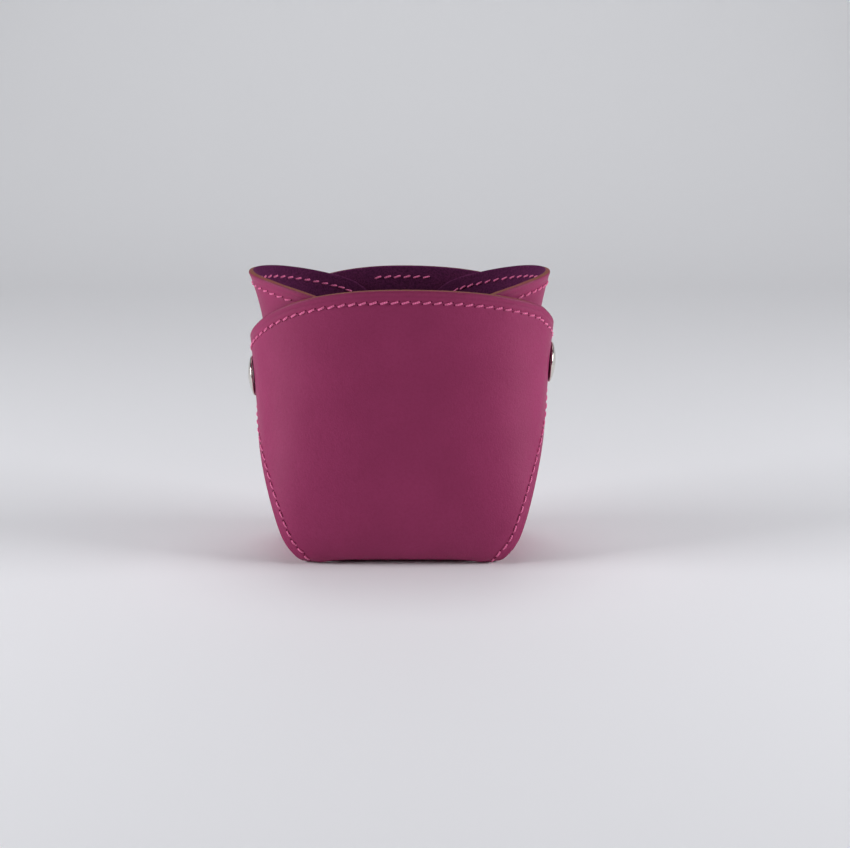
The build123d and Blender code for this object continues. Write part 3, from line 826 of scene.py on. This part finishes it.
def paper_with_painted_light():
    """Paper of the sweep, with painted light and shade: painted paler up the wall where the lamps light it
    less, and painted grey shade far out at the sides, near the lamps, to hold down their light there.
    """
    finish = Finish("paper_with_painted_light", Roughness=0.7)
    across = finish.part(finish.place(), 0)
    depth = finish.part(finish.place(), 1)
    # Painted shade: the floor a touch darker further back, as its light falls off.
    paper_tone_painted = finish.blend(finish.band(depth, 0.0, 0.4), (0.9, 0.895, 0.9, 1.0), (0.88, 0.875, 0.88, 1.0))
    # Painted light: the wall paler, where the lamps light it less.
    paper_tone_painted = finish.blend(finish.band(depth, 0.3, 0.9), paper_tone_painted, (0.97, 0.97, 0.97, 1.0))
    # Painted shade: grey far out at the sides, under the lamps' pools of light.
    paper_tone_painted = finish.blend(finish.band(across * across, 0.06, 0.4), paper_tone_painted, (0.3, 0.3, 0.3, 1.0))
    return finish.use(Base_Color=paper_tone_painted)


def lamp(name, place, aim, size, power):
    """Square soft lamp that faces aim."""
    data = bpy.data.lights.new(name, "AREA")
    data.size = size
    data.energy = power
    data.color = LAMP_COLOUR
    piece = bpy.data.objects.new(name, data)
    piece.location = place
    direction = Vector(aim) - Vector(place)
    piece.rotation_euler = direction.to_track_quat("-Z", "Y").to_euler()
    bpy.context.scene.collection.objects.link(piece)


grain_side = raspberry_grain()
flesh_side = plum_suede()
raw_edge = cut_edge()
thread_pink = pink_thread()
hole_painted_shade = needle_hole_painted_shade()
cap_nickel = nickel()
stud_steel = plated_steel()
HIDE_FINISHES = [grain_side, flesh_side, raw_edge]

front_outlines = {side: wing_outline(FRONT_LAYER, FRONT_HEIGHT, side) for side in SIGNS}
back_outlines = {side: wing_outline(BACK_LAYER, BACK_HEIGHT, side) for side in SIGNS}
plain_outline = side_outline()

# Front flap in two halves that meet on the middle line
for side, sign in SIGNS.items():
    points, normals, rim = flap_half(front_outlines[side], FRONT_LAYER, WING_ROOT_SHARE)
    half = hide_piece(
        f"front_flap_{side}",
        turned_over(points, (sign, 1, 1)),
        turned_over(normals, (sign, 1, 1)),
        rim,
        HIDE_FINISHES,
        sign < 0,
    )
    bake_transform(half)
    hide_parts("front_panel", f"{side}_wing")

# Back flap in one piece
halves = []
for side, sign in SIGNS.items():
    points, normals, rim = flap_half(back_outlines[side], BACK_LAYER, WING_ROOT_SHARE)
    halves.append((turned_over(points, (sign, -1, 1)), turned_over(normals, (sign, -1, 1)), rim))
back_sheet = joined(*halves)
hollow = sum(stud_hollow(back_sheet[0], *snap_seat(side)) for side in SIGNS)
back_flap = hide_piece("back_flap", *back_sheet, HIDE_FINISHES, True, hollow)
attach(back_flap, "cup")
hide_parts("back_panel")

# Side flaps, innermost
side_points, side_normals, side_rim = flap_half(plain_outline, SIDE_LAYER, SIDE_ROOT_SHARE)
for side, sign in SIGNS.items():
    side_leaned = leaned(side_points, side)
    halves = []
    for depth_sign in (1, -1):
        signs = (sign, depth_sign, 1)
        halves.append((turned_over(side_leaned, signs), turned_over(side_normals, signs), side_rim))
    side_flap = hide_piece(f"{side}_flap", *joined(*halves), HIDE_FINISHES, sign < 0)
    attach(side_flap, "cup")
    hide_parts(f"{side}_panel")

# Base, flat on the table between the folds, flesh side up
base_across = np.linspace(-1, 1, BASE_COLUMNS)
base_along = np.linspace(-BASE_END, BASE_END, BASE_ROWS)
base_power = squareness(0)
base_half_width = half_width(0, SIDE_LAYER) - FOLD
base_half_depth = half_depth(0, FRONT_LAYER) - FOLD
base_width = base_half_width * (1 - np.abs(base_along) ** base_power) ** (1 / base_power)
base_x = base_across[:, None] * base_width
base_y = np.broadcast_to(base_along * base_half_depth, base_x.shape)
base_points = np.stack([base_x, base_y, foot_arch(base_x)], axis=-1)
base_normals = np.broadcast_to(np.array([0.0, 0.0, -1.0]), base_points.shape)
base_rim = np.full(base_x.shape, FAR_FROM_RIM)
base = hide_piece("base", base_points, base_normals, base_rim, HIDE_FINISHES, True)
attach(base, "cup")
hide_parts("base_panel")

# Stitching: the front's two runs stand alone, one for each half; the others ride on the cup
front_seams = {side: stitch_seats(front_outlines[side], FRONT_LAYER, -1, LAST_STITCH) for side in SIGNS}
back_seams = {side: stitch_seats(back_outlines[side], BACK_LAYER, -1, LAST_STITCH) for side in SIGNS}
plain_seam = stitch_seats(plain_outline, SIDE_LAYER, 1, LAST_SIDE_STITCH)

for side, sign in SIGNS.items():
    outer = carried(front_seams[side], (sign, 1, 1))
    shown = np.abs(front_seams[side][0][:, 0]) < INNER_SHOWN
    inner = flesh_seats(carried(front_seams[side], (sign, 1, 1), shown))
    run = stitches(f"front_stitches_{side}", [outer, inner])
    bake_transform(run)
    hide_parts("front_stitching", f"{side}_wing_stitching")

runs = []
for side, sign in SIGNS.items():
    runs.append(carried(back_seams[side], (sign, -1, 1)))
    shown = np.abs(back_seams[side][0][:, 0]) < INNER_SHOWN
    runs.append(flesh_seats(carried(back_seams[side], (sign, -1, 1), shown)))
run = stitches("back_stitches", runs)
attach(run, "cup")
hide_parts("back_stitching")

for side, sign in SIGNS.items():
    runs = []
    seam = (leaned(plain_seam[0], side), *plain_seam[1:])
    for depth_sign, outline in ((1, front_outlines[side]), (-1, back_outlines[side])):
        signs = (sign, depth_sign, 1)
        clear = ~covered(plain_seam[0], plain_seam[1], outline)
        runs.append(carried(seam, signs, clear))
        runs.append(flesh_seats(carried(seam, signs)))
    run = stitches(f"{side}_stitches", runs)
    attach(run, "cup")
    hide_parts(f"{side}_stitching")

# Press studs: caps with a rolled rim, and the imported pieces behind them
for side in SIGNS:
    cap = turned(f"{side}_snap_cap", CAP_PROFILE, *snap_seat(side), [cap_nickel])
    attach(cap, f"{side}_wing")
    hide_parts(f"{side}_cap")
    for piece in ("socket", "spring", "stud", "post"):
        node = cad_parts[f"{side}_{piece}"]
        node.data.materials.clear()
        node.data.materials.append(stud_steel)

# Stage: a pale sweep under soft lamps from both sides and above
bend = np.linspace(0.05, math.pi / 2, 20)
bend_radius = SWEEP_WALL - SWEEP_BEND
floor_run = np.linspace(SWEEP_NEAR, SWEEP_BEND, 30)
wall_climb = np.linspace(SWEEP_WALL_START, SWEEP_TOP, 12)
wall_run = np.full(len(wall_climb), SWEEP_WALL)
sweep_y = np.concatenate([floor_run, SWEEP_BEND + bend_radius * np.sin(bend), wall_run])
sweep_z = np.concatenate([np.zeros(len(floor_run)), bend_radius - bend_radius * np.cos(bend), wall_climb])
sweep_x = np.linspace(-SWEEP_HALF_WIDTH, SWEEP_HALF_WIDTH, SWEEP_COLUMNS)
sweep = np.stack(np.broadcast_arrays(sweep_x[:, None], sweep_y, sweep_z), axis=-1)
sweep_faces = grid_faces(SWEEP_COLUMNS, len(sweep_y)).tolist()
floor = mesh_object("sweep", sweep.reshape(-1, 3) / MM, sweep_faces, [paper_with_painted_light()])

lamp("left_lamp", (-0.8, -0.19, 0.3), (0, 0, 0.05), 0.4, 6.1)
lamp("right_lamp", (0.8, -0.16, 0.3), (0, 0, 0.05), 0.4, 6.0)
lamp("top_lamp", (0, 0.2, 1.1), (0, 0, 0), 0.6, 3.6)
world = bpy.data.worlds.new("room")
world.use_nodes = True
background = world.node_tree.nodes["Background"]
background.inputs["Color"].default_value = (0.9, 0.92, 1.0, 1.0)
background.inputs["Strength"].default_value = 0.03
bpy.context.scene.world = world

# Camera, where the photograph was taken from
camera_data = bpy.data.cameras.new("camera")
camera_data.lens = CAMERA_LENS
camera_data.sensor_width = 36.0
camera = bpy.data.objects.new("camera", camera_data)
camera.location = CAMERA_PLACE
camera.rotation_euler = (CAMERA_TILT, 0, 0)
bpy.context.scene.collection.objects.link(camera)
bpy.context.scene.camera = camera

bpy.context.scene.view_settings.view_transform = "Standard"
